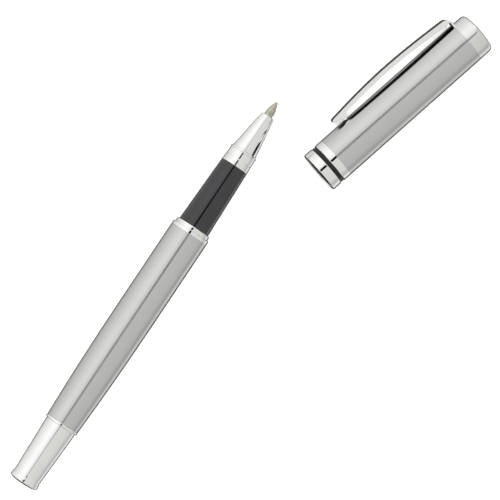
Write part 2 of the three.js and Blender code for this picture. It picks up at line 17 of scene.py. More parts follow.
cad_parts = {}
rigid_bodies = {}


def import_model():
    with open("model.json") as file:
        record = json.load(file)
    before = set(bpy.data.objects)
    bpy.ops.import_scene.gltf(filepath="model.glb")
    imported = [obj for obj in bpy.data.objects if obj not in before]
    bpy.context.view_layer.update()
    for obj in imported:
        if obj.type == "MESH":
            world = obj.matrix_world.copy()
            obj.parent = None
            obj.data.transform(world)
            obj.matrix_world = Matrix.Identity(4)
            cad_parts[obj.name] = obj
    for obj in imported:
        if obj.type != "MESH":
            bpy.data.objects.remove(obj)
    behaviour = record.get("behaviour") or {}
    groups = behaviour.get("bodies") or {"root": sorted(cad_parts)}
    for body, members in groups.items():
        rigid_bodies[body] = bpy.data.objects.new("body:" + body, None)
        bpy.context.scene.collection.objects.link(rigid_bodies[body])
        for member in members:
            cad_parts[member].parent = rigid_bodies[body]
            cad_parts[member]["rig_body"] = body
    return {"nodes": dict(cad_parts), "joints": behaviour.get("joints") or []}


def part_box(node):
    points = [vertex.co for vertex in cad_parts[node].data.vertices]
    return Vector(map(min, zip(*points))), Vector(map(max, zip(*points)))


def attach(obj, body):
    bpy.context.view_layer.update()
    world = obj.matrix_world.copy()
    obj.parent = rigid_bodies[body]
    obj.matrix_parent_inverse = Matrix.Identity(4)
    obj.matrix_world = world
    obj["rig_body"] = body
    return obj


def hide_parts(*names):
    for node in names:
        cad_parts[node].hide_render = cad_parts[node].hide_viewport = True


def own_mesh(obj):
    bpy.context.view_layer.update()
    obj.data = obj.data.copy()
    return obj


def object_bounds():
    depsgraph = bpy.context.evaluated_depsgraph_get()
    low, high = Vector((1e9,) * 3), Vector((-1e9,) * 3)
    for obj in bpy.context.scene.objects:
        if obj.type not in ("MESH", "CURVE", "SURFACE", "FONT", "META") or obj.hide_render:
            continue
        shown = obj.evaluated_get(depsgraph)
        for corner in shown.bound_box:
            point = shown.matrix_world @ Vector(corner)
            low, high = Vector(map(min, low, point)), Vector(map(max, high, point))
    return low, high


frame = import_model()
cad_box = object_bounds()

MM = 0.001

# ---- camera, lamp and floor
# The camera's place and the point it looks at are measured from the middle of the cap's mouth.
CAMERA_AT = (-0.060435, 0.001983, 0.844)
CAMERA_AIM = (-0.027335, -0.003217, 0.0)
CAMERA_TURN = math.radians(41.6)        # how far the cap's axis climbs across the view
CAMERA_LENS = 229.0
SUN_STRENGTH = 3.4
SUN_SPREAD = math.radians(24)
FLOOR_SIZE = 60.0
FLOOR_GAP = 0.01 * MM                   # between the floor and the lowest piece
FLOOR_COLOUR = (0.92, 0.92, 0.915)

# ---- fineness of the meshes
WELD = 4e-6                             # how far off a CAD node's point may lie from its place
MERGE = 1e-7                            # points of a new outline nearer than this are one
FACETS = 128
HIDDEN_FACETS = 72
EDGE = 0.05 * MM                        # how far a machined edge is eased
SHALLOW = math.radians(36)              # a corner that turns less than this is part of a curve
EASE_STEPS = 7
EASE_SHARE = 0.45                       # the most that an eased edge takes of a side
HOLD = 0.03 * MM                        # rows that keep a flat side flat next to its eased edge
CLOSE_UP = 0.022 * MM                   # how far each end of a turned piece goes into its seam
LIP_EDGE = 0.3 * MM                     # the cap's lip is rounder than the other edges
TIP_EDGE = 0.12 * MM
TIP_SHALLOW = math.radians(10)

# ---- small detail that the CAD solids leave out
GROOVE_SHARE = 0.47                     # place of the fine groove along the nose collar
GROOVE_WIDTH = 0.3 * MM
GROOVE_DEPTH = 0.08 * MM
GROOVE_FLAT = 0.4                       # share of its width that is at its full depth
CROWN_TAPER = 0.045 * MM                # the crown's side draws in by this towards its end
CROWN_SIDE = 0.7                        # its side lies past this share of its radius
THREAD_PITCH = 0.75 * MM
THREAD_DEPTH = 0.24 * MM
THREAD_FADE = 0.6 * THREAD_PITCH        # over which it grows at each end
THREAD_END = 1.2 * MM                   # how far behind the barrel's mouth it stops
THREAD_CREST = 0.8                      # power that shapes its valleys
THREAD_NEAR = 0.01 * MM                 # it is cut only into the surface this near the crest
THREAD_ROWS = 14                        # in one pitch
THREAD_ROWS_REAR = 0.3 * MM             # where the rows begin and end
THREAD_ROWS_FRONT = 1.1 * MM
CREST_WELD = 0.001 * MM
BALL_STEPS = 33
BALL_FACETS = 48
SPRING_WIRE = 0.25 * MM                 # radius
SPRING_TURNS = 7
SPRING_SHUT = 0.8                       # turns at each end that lie on the next one
SPRING_OPENS = 0.6                      # turns over which it then opens
SPRING_SLACK = 1.02                     # pitch of a shut turn, in thicknesses of the wire
SPRING_SIDES = 14
SPRING_STEPS = 48                       # in one turn
CLIP_EDGE = 0.08 * MM
CLIP_CORNER = 0.12 * MM
CLIP_SHALLOW = math.radians(50)
CLIP_ROWS = 7
CLIP_ROOM = 0.9                         # share of the room in a corner that its edge takes
CLIP_TURNS = (1e-6, 3.0)                # the least and most that a corner is taken to turn
SHADE_FROM, SHADE_TO = 0.5, 0.75        # how far a surface faces the cap where "under", painted shade, fades in

# ---- wear and marks
MARKS_DRAWN_OUT = 60                    # times as long round a piece as they are wide
MARKS_BROAD = 0.12                      # share of the broad marks among the fine ones
BROAD_SCALE = 0.13                      # their scale, with the fine ones' as 1
HAIRLINE_SCALE = (900.0, 14000.0, 9000.0)
HAIRLINE_TURNS = (0.5, -1.1)
HAIRLINE_PATCH = 260.0
WEAR_PATCH = 1500.0
WORN_BRIGHTER = 1.15                    # worn edges of bare metal, with its lighter colour as 1


# ---- axes
class Line:
    """The axis a piece is turned on: a point on it, and its own directions.

    They are the one along it, the one beside it and the one above it.
    """

    def __init__(self, point, along, up=(0, 0, 1)):
        self.point = np.array(point, float)
        along = np.array(along, float) / np.linalg.norm(along)
        up = np.array(up, float)
        self.axes = np.stack((along, np.cross(up, along), up))

    def to_row(self, local):
        return self.point + local @ self.axes

    def from_row(self, points):
        return (points - self.point) @ self.axes.T


def joint(name):
    return next(j for j in frame["joints"] if j["name"] == name)


def cap_axis():
    low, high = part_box("cap_tube")
    return (low.x, (low.y + high.y) / 2, (low.z + high.z) / 2)


PEN = Line(joint("section_turn")["pos_m"], joint("section_turn")["axis"])
CAP = Line(cap_axis(), (1, 0, 0))
CLIP = Line(cap_axis(), (1, 0, 0), up=np.cross((1, 0, 0), joint("clip_flex")["axis"]))


def body_of(node):
    return frame["nodes"][node]["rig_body"]


def line_of(node):
    return CAP if body_of(node) == "cap" else PEN


# ---- outlines, read from the CAD nodes
def welded(node, line):
    """A CAD node's own points on its line, each once, and its triangles."""
    mesh = frame["nodes"][node].data
    points = np.empty(3 * len(mesh.vertices), np.float32)
    mesh.vertices.foreach_get("co", points)
    corners = np.empty(len(mesh.loops), np.int32)
    mesh.loops.foreach_get("vertex_index", corners)
    points, back = np.unique(points.reshape(-1, 3), axis=0, return_inverse=True)
    return line.from_row(points.astype(float)), back.reshape(-1)[corners].reshape(-1, 3)


def walk(links):
    """The points of a chain of links in order. An open chain starts at its rear end."""
    near = {}
    for a, b in links:
        near.setdefault(a, []).append(b)
        near.setdefault(b, []).append(a)
    ends = [p for p in near if len(near[p]) == 1]
    order = [min(ends or near)]
    while True:
        ahead = [p for p in near[order[-1]] if p not in order[-2:] and p != order[0]]
        if not ahead:
            return order
        order.append(ahead[0])


def edges_of(triangles):
    """The edges of each triangle, as pairs of points with the lower number first."""
    pairs = [triangles[:, pair] for pair in ((0, 1), (1, 2), (2, 0))]
    return np.sort(np.concatenate(pairs), axis=1)


def outline(node):
    """The outline (x, r) that a node was turned from: its edges in the plane above its axis."""
    local, triangles = welded(node, line_of(node))
    upright = (np.abs(local[:, 1]) < WELD) & (local[:, 2] > -WELD)
    sides = edges_of(triangles)
    sides = np.unique(sides[upright[sides].all(axis=1)], axis=0)
    profile = local[walk(sides.tolist())][:, [0, 2]]
    profile[:, 1] = np.where(profile[:, 1] < WELD, 0, profile[:, 1])
    return profile


def eased(profile, edge=EDGE, shallow=SHALLOW):
    """The outline with its corners rounded, and how near each point is to an edge, from 0 to 1.

    A corner p becomes the quadratic curve (1-s)^2 a + 2s(1-s) p + s^2 b, where a and b lie on its
    two sides. They are edge away from a sharp corner, and half a side away from a shallow one, so
    a run of shallow corners becomes one smooth curve. A point at HOLD from each curve keeps the
    straight sides straight. edge is one length for all corners, or one for each. Along a sharp
    corner's curve the nearness is 1 - |2s - 1|^3.
    """
    closed = profile[0][1] > 0
    count = len(profile)
    edge = np.broadcast_to(edge, count)
    out, rim = [], []
    for i, p in enumerate(profile):
        if not closed and i in (0, count - 1):
            out.append(p)
            rim.append(0)
            continue
        to_last, to_next = profile[i - 1] - p, profile[(i + 1) % count] - p
        last, ahead = np.linalg.norm(to_last), np.linalg.norm(to_next)
        to_last, to_next = to_last / last, to_next / ahead
        turn = math.pi - math.acos(np.clip(to_last @ to_next, -1, 1))
        gentle = turn < shallow
        side = min(last, ahead)
        reach = 0.5 * side if gentle else min(edge[i], EASE_SHARE * side)
        s = np.linspace(0, 1, EASE_STEPS)[:, None]
        a, b = p + reach * to_last, p + reach * to_next
        curve = (1 - s) ** 2 * a + 2 * s * (1 - s) * p + s**2 * b
        near = np.zeros(EASE_STEPS) if gentle else 1 - np.abs(2 * s[:, 0] - 1) ** 3
        if reach + HOLD < 0.5 * last:
            out.append(p + (reach + HOLD) * to_last)
            rim.append(0)
        out.extend(curve)
        rim.extend(near)
        if reach + HOLD < 0.5 * ahead:
            out.append(p + (reach + HOLD) * to_next)
            rim.append(0)
    out, rim = np.array(out), np.array(rim, float)
    fresh = np.ones(len(out), bool)
    fresh[1:] = np.linalg.norm(np.diff(out, axis=0), axis=1) > MERGE
    if closed and np.linalg.norm(out[0] - out[-1]) < MERGE:
        fresh[0] = False
    return out[fresh], rim[fresh]


# ---- meshes
def rings_joined(here, ahead):
    """The quads from rings of vertices to the rings ahead of them. Each ring closes on itself."""
    quads = (here, ahead, np.roll(ahead, -1, axis=1), np.roll(here, -1, axis=1))
    return np.stack(quads, axis=-1).reshape(-1, 4)


def swept(profile, facets, relief=None):
    """A surface of revolution: the outline's point (x, r) at angle a is (x, r sin a, r cos a).

    relief(x, r, a) is added to r. A point on the axis is one vertex, and an outline that isn't on
    the axis closes on itself.
    """
    x, r = profile[:, :1], profile[:, 1:]
    a = np.linspace(0, 2 * math.pi, facets, endpoint=False)[None, :]
    ring = r + (relief(x, r, a) if relief else 0) * (r > 0)
    local = np.stack((x + 0 * a, ring * np.sin(a), ring * np.cos(a)), axis=-1).reshape(-1, 3)
    index = np.arange(len(profile) * facets).reshape(len(profile), facets)
    index[profile[:, 1] == 0] = index[profile[:, 1] == 0][:, :1]
    ahead = np.roll(index, -1, axis=0) if profile[0, 1] > 0 else index[1:]
    here = index if profile[0, 1] > 0 else index[:-1]
    return local, rings_joined(here, ahead)


def tube(centre, side_a, side_b, radius, sides):
    """A round wire: its centre line plus radius (cos b side_a + sin b side_b), at each angle b.

    Each end closes on one vertex at the middle of its face.
    """
    b = np.linspace(0, 2 * math.pi, sides, endpoint=False)[None, :, None]
    rings = centre[:, None] + radius * (np.cos(b) * side_a[:, None] + np.sin(b) * side_b[:, None])
    ends = centre[[0, -1]]
    local = np.concatenate((rings.reshape(-1, 3), ends))
    index = np.arange(len(centre) * sides).reshape(len(centre), sides)
    first, last = np.full((1, sides), len(local) - 2), np.full((1, sides), len(local) - 1)
    index = np.concatenate((first, index, last))
    return local, rings_joined(index[:-1], index[1:])


def outward(local, faces):
    """The faces, turned round together if the volume they enclose comes out negative."""
    a, b, c, d = (local[faces[:, i]] for i in range(4))
    volume = np.einsum("ij,ij->", a, np.cross(b, c) + np.cross(c, d))
    return faces if volume > 0 else faces[:, ::-1]


def without_repeats(face):
    """A quad that meets a pole has one corner twice, and becomes a triangle."""
    return list(dict.fromkeys(face))


def unrolled(local, faces):
    """Each face corner's place unrolled from the axis: (x in millimetres, share of a turn).

    The share runs on past its highest value at the seam, so that no face crosses it.
    """
    corners = np.concatenate(faces)
    sizes = np.array([len(face) for face in faces])
    share = np.arctan2(local[corners, 1], local[corners, 2]) / (2 * math.pi)
    highest = np.maximum.reduceat(share, np.cumsum(sizes) - sizes)
    share += np.repeat(highest, sizes) - share > 0.5
    return np.stack((local[corners, 0] / MM, share), axis=1)


def store(mesh, name, values):
    """Keeps a number or a vector for each point of the mesh, as an attribute."""
    kind, key = ("FLOAT_VECTOR", "vector") if values.ndim == 2 else ("FLOAT", "value")
    mesh.attributes.new(name, kind, "POINT").data.foreach_set(key, values.ravel())


def piece(node, local, faces, line, rim, extra=()):
    """The finished piece for a CAD node: mesh, attributes, body, replaced node and material.

    extra holds faces with any number of corners, wound the same way as the others.
    """
    turned = outward(local, faces)
    if turned is not faces:
        faces, extra = turned, [face[::-1] for face in extra]
    used, back = np.unique(faces, return_inverse=True)
    faces = [without_repeats(face) for face in back.reshape(faces.shape).tolist()]
    faces = [face for face in faces if len(face) > 2]
    renumbered = {old: new for new, old in enumerate(used.tolist())}
    faces += [[renumbered[v] for v in face] for face in extra]
    local, rim = local[used], rim[used]
    mesh = bpy.data.meshes.new(node + "_fine")
    mesh.from_pydata(line.to_row(local).tolist(), [], faces)
    store(mesh, "turned", local)
    store(mesh, "rim", rim)
    mesh.uv_layers.new(name="round").data.foreach_set("uv", unrolled(local, faces).ravel())
    mesh.shade_smooth()
    made = bpy.data.objects.new(node + "_fine", mesh)
    bpy.context.collection.objects.link(made)
    finish, slot = FINISHES[node]
    mesh.materials.append(finish)
    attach(made, body_of(node))
    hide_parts(node)
    return made


def turned_piece(node, profile=None, edge=EDGE, shallow=SHALLOW, facets=FACETS):
    """A turned piece: the node's outline, or the one given, eased and swept round its axis.

    It is stretched by CLOSE_UP at each end, so that only a hairline is left of the seams.
    """
    profile = outline(node) if profile is None else profile.copy()
    x = profile[:, 0]
    middle, half = (x.min() + x.max()) / 2, (x.max() - x.min()) / 2
    profile[:, 0] = middle + (x - middle) * (1 + CLOSE_UP / half)
    profile, rim = eased(profile, edge, shallow)
    local, faces = swept(profile, facets)
    return piece(node, local, faces, line_of(node), np.repeat(rim, facets))


# ---- pieces with detail of their own
def lip_ring():
    """The cap's lip. Its outer corners are well rounded, and those round its opening are crisp."""
    profile = outline("lip_ring")
    outside = profile[:, 1].max()
    profile = profile[(profile[:, 1] > outside - WELD) | (profile[:, 1] < outside - LIP_EDGE)]
    corners = profile[:, 1] > outside - WELD
    rear, front = profile[:, 0].min(), profile[:, 0].max()
    profile[corners, 0] = np.where(profile[corners, 0] < (rear + front) / 2, rear, front)
    return turned_piece("lip_ring", profile, edge=np.where(corners, LIP_EDGE, EDGE))


def nose_collar():
    """The tapered collar, with one fine groove turned round it a little behind its middle.

    The groove's four points lie on the straight side from a to b, the middle two GROOVE_DEPTH in.
    """
    profile = outline("nose_collar")
    rear, front = profile[:, 0].min(), profile[:, 0].max()
    at = rear + GROOVE_SHARE * (front - rear)
    first, second = np.flatnonzero(profile[:, 1] > profile[:, 1].mean())[[0, -1]]
    if second - first == len(profile) - 1:
        profile = np.roll(profile, 1, axis=0)
        first, second = 0, 1
    a, b = profile[first], profile[second]

    def on_side(x, depth):
        share = (x - a[0]) / (b[0] - a[0])
        return [x, a[1] + share * (b[1] - a[1]) - depth]

    way = np.sign(b[0] - a[0])
    steps = ((-1, 0), (-GROOVE_FLAT, GROOVE_DEPTH), (GROOVE_FLAT, GROOVE_DEPTH), (1, 0))
    groove = [on_side(at + way * s * GROOVE_WIDTH / 2, depth) for s, depth in steps]
    return turned_piece("nose_collar", np.insert(profile, first + 1, groove, axis=0))


def crown():
    """The crown. Its side narrows evenly towards its end, by CROWN_TAPER."""
    profile = outline("crown")
    rear, front = profile[:, 0].min(), profile[:, 0].max()
    side = profile[:, 1] > CROWN_SIDE * profile[:, 1].max()
    profile[side, 1] -= CROWN_TAPER * (profile[side, 0] - rear) / (front - rear)
    return turned_piece("crown", profile)


def section_core():
    """The brass core, with a helical thread.

    The thread is cut in by THREAD_DEPTH times a power of the wave 0.5 - 0.5 cos 2 pi w, where w is
    x / THREAD_PITCH less the share of a turn, so its ridge runs where w is whole. It fades out at
    both ends.
    """
    profile = outline("section_core")
    crest = profile[:, 1].max()
    front = barrel_mouth()
    rear = profile[:, 0].min()

    def thread(x, r, a):
        wave = 0.5 - 0.5 * np.cos(2 * math.pi * (x / THREAD_PITCH - a / (2 * math.pi)))
        begun = np.clip((x - rear) / THREAD_FADE, 0, 1)
        left = np.clip((front - THREAD_END - x) / THREAD_FADE, 0, 1)
        return -THREAD_DEPTH * (begun * left) * wave**THREAD_CREST * (r > crest - THREAD_NEAR)

    steps = int((front - rear) / (THREAD_PITCH / THREAD_ROWS))
    stations = np.linspace(rear + THREAD_ROWS_REAR, front - THREAD_ROWS_FRONT, steps)
    rows, rim = eased(profile)
    top = np.flatnonzero(rows[:, 1] > crest - CREST_WELD)
    before = top[rows[top, 0] < stations[0]]
    way = 1 if rows[before[-1], 0] > rows[before[0], 0] else -1
    at = before[-1] + 1 if way > 0 else before[0]
    fresh = np.stack((stations[::way], np.full(steps, crest)), axis=1)
    rows = np.insert(rows, at, fresh, axis=0)
    rim = np.insert(rim, at, np.zeros(steps))
    local, faces = swept(rows, FACETS, thread)
    return piece("section_core", local, faces, PEN, np.repeat(rim, FACETS))


def barrel_mouth():
    """Where the barrel ends and the section's ring begins, along the pen."""
    return outline("barrel_tube")[:, 0].max()


def writing_ball():
    """A sphere: the half circle (x, r) = (c - R cos b, R sin b), swept round."""
    profile = outline("writing_ball")
    rear, front = profile[:, 0].min(), profile[:, 0].max()
    radius = (front - rear) / 2
    b = np.linspace(0, math.pi, BALL_STEPS)
    half = np.stack((rear + radius - radius * np.cos(b), radius * np.sin(b)), axis=1)
    half[[0, -1], 1] = 0
    local, faces = swept(half, BALL_FACETS)
    return piece("writing_ball", local, faces, PEN, np.zeros(len(local)))


def refill_spring():
    """A compression spring: a wire along the helix (x, R sin a, R cos a).

    x grows by about one wire in each shut turn at its ends, and by the full pitch between them.
    """
    local, _ = welded("refill_spring", PEN)
    rear, front = local[:, 0].min(), local[:, 0].max()
    radius = np.hypot(local[:, 1], local[:, 2]).max() - SPRING_WIRE
    turn = np.linspace(0, SPRING_TURNS, SPRING_TURNS * SPRING_STEPS + 1)
    from_end = np.minimum(turn, SPRING_TURNS - turn)
    pitch = np.clip(from_end - SPRING_SHUT, 0, SPRING_OPENS) / SPRING_OPENS
    growth = np.concatenate(([0], np.cumsum((pitch[1:] + pitch[:-1]) / 2)))
    shut = 2 * SPRING_WIRE * SPRING_SLACK * turn
    open_length = front - rear - 2 * SPRING_WIRE - shut[-1]
    x = rear + SPRING_WIRE + shut + open_length * growth / growth[-1]
    a = 2 * math.pi * turn
    centre = np.stack((x, radius * np.sin(a), radius * np.cos(a)), axis=1)
    out = np.stack((0 * a, np.sin(a), np.cos(a)), axis=1)
    ahead = np.gradient(centre, axis=0)
    ahead /= np.linalg.norm(ahead, axis=1)[:, None]
    local, faces = tube(centre, out, np.cross(ahead, out), SPRING_WIRE, SPRING_SIDES)
    made = piece("refill_spring", local, faces, PEN, np.zeros(len(local)))
    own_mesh(made)
    return made


def room_inside(rows, area):
    """How much of the clip's rounded edge fits inside each point of its outline, from 0 to 1.

    Where the outline turns by an angle t between sides of length l, what is moved inwards meets at
    a depth of l / (2 tan(t / 2)). A point takes the least of its neighbours' values.
    """
    after = np.roll(rows, -1, axis=0) - rows
    before = np.roll(after, 1, axis=0)
    length = np.linalg.norm(after, axis=1)
    across = before[:, 0] * after[:, 1] - before[:, 1] * after[:, 0]
    turn = np.arctan2(across, (before * after).sum(axis=1))
    turn = np.clip(turn * np.sign(area), *CLIP_TURNS)
    depth = np.minimum(length, np.roll(length, 1)) / (2 * np.tan(turn / 2))
    room = CLIP_ROOM * depth / (CLIP_EDGE + HOLD)
    near = np.stack([np.roll(room, step) for step in range(-EASE_STEPS, EASE_STEPS + 1)])
    return np.minimum(near.min(axis=0), 1)


def clip_outline():
    """The clip's eased side outline (x, z), its nearness to edges, and half the clip's width."""
    local, triangles = welded("clip", CLIP)
    near_side = local[:, 1] > 0
    sides = edges_of(triangles[near_side[triangles].all(axis=1)])
    sides, times = np.unique(sides, axis=0, return_counts=True)
    order = walk(sides[times == 1].tolist())
    half_width = local[order, 1]
    points = local[order][:, [0, 2]]
    rows, rim = eased(points, CLIP_CORNER, CLIP_SHALLOW)
    span = np.argsort(points[:, 0])
    return rows, rim, np.interp(rows[:, 0], points[span, 0], half_width[span])


def clip():
    """The clip: its side outline carried across its width, with rounded edges.

    At an angle q of the quarter circle of an edge, the outline is CLIP_EDGE (1 - sin q) further in,
    and CLIP_EDGE (1 - cos q) short of the clip's side. Flat faces fill the two sides.
    """
    rows, rim, width = clip_outline()
    ahead = np.roll(rows, -1, axis=0) - np.roll(rows, 1, axis=0)
    ahead /= np.linalg.norm(ahead, axis=1)[:, None]
    inward = np.stack((-ahead[:, 1], ahead[:, 0]), axis=1)
    following = np.roll(rows, -1, axis=0)
    area = np.sum(rows[:, 0] * following[:, 1] - rows[:, 1] * following[:, 0])
    inward *= np.sign(area)
    q = np.linspace(0, math.pi / 2, CLIP_ROWS)
    drawn_in = np.concatenate(([CLIP_EDGE + HOLD], CLIP_EDGE * (1 - np.sin(q)), [0]))
    short = np.concatenate(([0], CLIP_EDGE * (1 - np.cos(q)), [CLIP_EDGE + HOLD]))
    side = np.repeat((1, -1), len(short))
    drawn_in = np.concatenate((drawn_in, drawn_in[::-1]))
    short = np.concatenate((short, short[::-1]))
    plan = rows[None] + drawn_in[:, None, None] * (room_inside(rows, area) * inward.T).T[None]
    across = side[:, None] * (width[None] - short[:, None])
    grid = np.stack((plan[..., 0], across, plan[..., 1]), axis=-1)
    index = np.arange(grid.shape[0] * grid.shape[1]).reshape(grid.shape[:2])
    quads = rings_joined(index[:-1], index[1:])
    caps = [index[0].tolist(), index[-1][::-1].tolist()]
    near_edge = np.zeros(grid.shape[:2])
    near_edge[2:CLIP_ROWS] = 1
    near_edge[-CLIP_ROWS:-2] = 1
    near_edge = np.maximum(near_edge, rim[None])
    made = piece("clip", grid.reshape(-1, 3), quads, CLIP, near_edge.ravel(), extra=caps)
    # Painted shade: "under" marks the clip's side facing the cap, which its material paints near
    # black.
    painted_shade_facing_cap = np.clip((inward[:, 1] - SHADE_FROM) / (SHADE_TO - SHADE_FROM), 0, 1)
    under = painted_shade_facing_cap * (drawn_in < CLIP_EDGE / 2)[:, None]
    store(made.data, "under", under.ravel())
    return made


# ---- nodes of a material
def plug(tree, value, socket):
    """Links a node's output into a socket, or sets the socket to a plain value."""
    if isinstance(value, bpy.types.NodeSocket):
        tree.links.new(value, socket)
    else:
        socket.default_value = value


def add(tree, kind, **values):
    """A new node. Each value is one of its settings, or goes into one of its inputs.

    An input is named with _ for a space, or numbered, as at0 for its first.
    """
    made = tree.nodes.new(kind)
    for key, value in values.items():
        if hasattr(made, key):
            setattr(made, key, value)
            continue
        numbered = key.startswith("at") and key[2:].isdigit()
        plug(tree, value, made.inputs[int(key[2:]) if numbered else key.replace("_", " ")])
    return made


def maths(tree, operation, a, b=0.0):
    return add(tree, "ShaderNodeMath", operation=operation, at0=a, at1=b).outputs[0]


def total(tree, *parts):
    result = parts[0]
    for part in parts[1:]:
        result = maths(tree, "ADD", result, part)
    return result


def scaled(tree, value, factor):
    return maths(tree, "MULTIPLY", value, factor)


def between(tree, value, low, high, start=0.0, end=1.0):
    """The value's place between low and high, eased, as a number from start to end."""
    made = add(tree, "ShaderNodeMapRange", interpolation_type="SMOOTHSTEP",
               at0=value, at1=low, at2=high, at3=start, at4=end)
    return made.outputs[0]


def blend(tree, share, a, b):
    """Colour a where share is 0 and b where it is 1."""
    made = add(tree, "ShaderNodeMix", data_type="RGBA")
    for index, value in ((0, share), (6, a), (7, b)):
        plug(tree, (*value, 1) if isinstance(value, tuple) else value, made.inputs[index])
    return made.outputs[2]


def noise(tree, place, scale, detail=2.0, roughness=0.5):
    made = add(tree, "ShaderNodeTexNoise",
               Vector=place, Scale=scale, Detail=detail, Roughness=roughness)
    return made.outputs["Fac"]


def stretched(tree, place, scale, turn=(0, 0, 0)):
    return add(tree, "ShaderNodeMapping", Vector=place, Scale=scale, Rotation=turn).outputs[0]


def shared(name, inputs, build):
    """A node group with a Place and the given number inputs. build returns its named outputs."""
    tree = bpy.data.node_groups.new(name, "ShaderNodeTree")
    tree.interface.new_socket("Place", in_out="INPUT", socket_type="NodeSocketVector")
    for key in inputs:
        tree.interface.new_socket(key, in_out="INPUT", socket_type="NodeSocketFloat")
    entry = tree.nodes.new("NodeGroupInput")
    results = build(tree, *entry.outputs[: len(inputs) + 1])
    for key in results:
        tree.interface.new_socket(key, in_out="OUTPUT", socket_type="NodeSocketFloat")
    leave = tree.nodes.new("NodeGroupOutput")
    for key, value in results.items():
        tree.links.new(value, leave.inputs[key])
    return tree


def turning_marks(tree, place, spacing, around):
    """Fine rings left by a lathe or a brush: noise drawn out round the axis."""
    scale = add(tree, "ShaderNodeCombineXYZ", X=spacing, Y=around, Z=around).outputs[0]
    fine = noise(tree, stretched(tree, place, scale), 1.0, 3.0, 0.65)
    broad = noise(tree, stretched(tree, place, scale), BROAD_SCALE, 1.0)
    mixed = total(tree, scaled(tree, fine, 1 - MARKS_BROAD), scaled(tree, broad, MARKS_BROAD))
    return {"Marks": between(tree, mixed, 0.3, 0.7)}


def hairlines(tree, place, amount):
    """Thin scratches from handling, in two slanting directions, in patches."""
    lines = []
    for turn in HAIRLINE_TURNS:
        drawn = stretched(tree, place, HAIRLINE_SCALE, (turn, 0.3, turn))
        lines.append(between(tree, noise(tree, drawn, 1.0, 1.0), 0.68, 0.76))
    patch = between(tree, noise(tree, place, HAIRLINE_PATCH), 0.45, 0.7)
    either = maths(tree, "MAXIMUM", *lines)
    return {"Lines": scaled(tree, scaled(tree, either, patch), amount)}


def handling(tree, place, scale):
    """Broad soft patches where a surface has been touched and wiped."""
    soft = between(tree, noise(tree, place, scale, 3.0, 0.55), 0.35, 0.7)
    return {"Smudge": soft}


def rim_wear(tree, place, rim):
    """Edges rubbed bright in places: the rim, broken up by noise."""
    broken = between(tree, noise(tree, place, WEAR_PATCH), 0.35, 0.65, 0.35, 1.0)
    return {"Wear": scaled(tree, rim, broken)}


GROUPS = {
    "marks": shared("turning_marks", ("Spacing", "Around"), turning_marks),
    "hairlines": shared("hairlines", ("Amount",), hairlines),
    "handling": shared("handling", ("Scale",), handling),
    "wear": shared("rim_wear", ("Rim",), rim_wear),
}


def use(tree, group, **values):
    made = tree.nodes.new("ShaderNodeGroup")
    made.node_tree = GROUPS[group]
    for key, value in values.items():
        plug(tree, value, made.inputs[key])
    return made.outputs[0]


def blank(name, **settings):
    """A new material: its tree, its shader with the plain settings made, and the turned place."""
    material = bpy.data.materials.new(name)
    material.use_nodes = True
    tree = material.node_tree
    shader = tree.nodes["Principled BSDF"]
    for key, value in settings.items():
        shader.inputs[key.replace("_", " ")].default_value = value
    place = add(tree, "ShaderNodeAttribute", attribute_name="turned").outputs["Vector"]
    return material, tree, shader, place


def stored(tree, name):
    """A number that a piece's mesh keeps at each of its points."""
    return add(tree, "ShaderNodeAttribute", attribute_name=name).outputs["Fac"]


def colour_of(tree, shader, value):
    tree.links.new(value, shader.inputs["Base Color"])


def rough(tree, shader, value):
    tree.links.new(value, shader.inputs["Roughness"])


def bumps(tree, shader, height, depth):
    made = add(tree, "ShaderNodeBump", Strength=1.0, Distance=depth, Height=height)
    tree.links.new(made.outputs[0], shader.inputs["Normal"])


# ---- finishes
def satin_metal():
    """Satin chrome plate, brushed round, so that its reflections spread along the axis."""
    material, tree, shader, place = blank("satin_metal", Metallic=1.0, Anisotropic=1.0)
    along = add(tree, "ShaderNodeTangent", direction_type="UV_MAP", uv_map="round").outputs[0]
    tree.links.new(along, shader.inputs["Tangent"])
    marks = use(tree, "marks", Place=place, Spacing=12000.0, Around=260.0)
    smudge = use(tree, "handling", Place=place, Scale=90.0)
    wear = use(tree, "wear", Place=place, Rim=stored(tree, "rim"))
    base = blend(tree, marks, (0.604, 0.609, 0.599), (0.628, 0.631, 0.621))
    colour_of(tree, shader, blend(tree, wear, base, (0.78, 0.78, 0.77)))
    lines = use(tree, "hairlines", Place=place, Amount=0.05)
    value = total(tree, scaled(tree, marks, 0.015), scaled(tree, smudge, 0.03), lines, 0.2)
    rough(tree, shader, maths(tree, "SUBTRACT", value, scaled(tree, wear, 0.1)))
    bumps(tree, shader, marks, 0.00015 * MM)
    return material


def polished_chrome(name, light, dark):
    """Bright chrome plate: nearly a mirror, with faint hairlines and wiped patches."""
    material, tree, shader, place = blank(name, Metallic=1.0)
    smudge = use(tree, "handling", Place=place, Scale=160.0)
    lines = use(tree, "hairlines", Place=place, Amount=0.09)
    colour_of(tree, shader, blend(tree, smudge, light, dark))
    rough(tree, shader, total(tree, lines, scaled(tree, smudge, 0.02), 0.035))
    return material


def clip_chrome_painted_shade():
    """The clip's plate: bright, and rougher with painted shade on the side that faces the tube."""
    material, tree, shader, place = blank("clip_chrome_painted_shade", Metallic=1.0)
    under = stored(tree, "under")
    smudge = use(tree, "handling", Place=place, Scale=160.0)
    lines = use(tree, "hairlines", Place=place, Amount=0.09)
    base = blend(tree, smudge, (0.95, 0.95, 0.94), (0.91, 0.915, 0.9))
    # Painted shade: where "under" is 1 the colour is near black, for the shade between clip and
    # tube.
    colour_of(tree, shader, blend(tree, under, base, (0.05, 0.05, 0.048)))
    value = total(tree, lines, scaled(tree, smudge, 0.02), scaled(tree, under, 0.35), 0.035)
    rough(tree, shader, value)
    return material


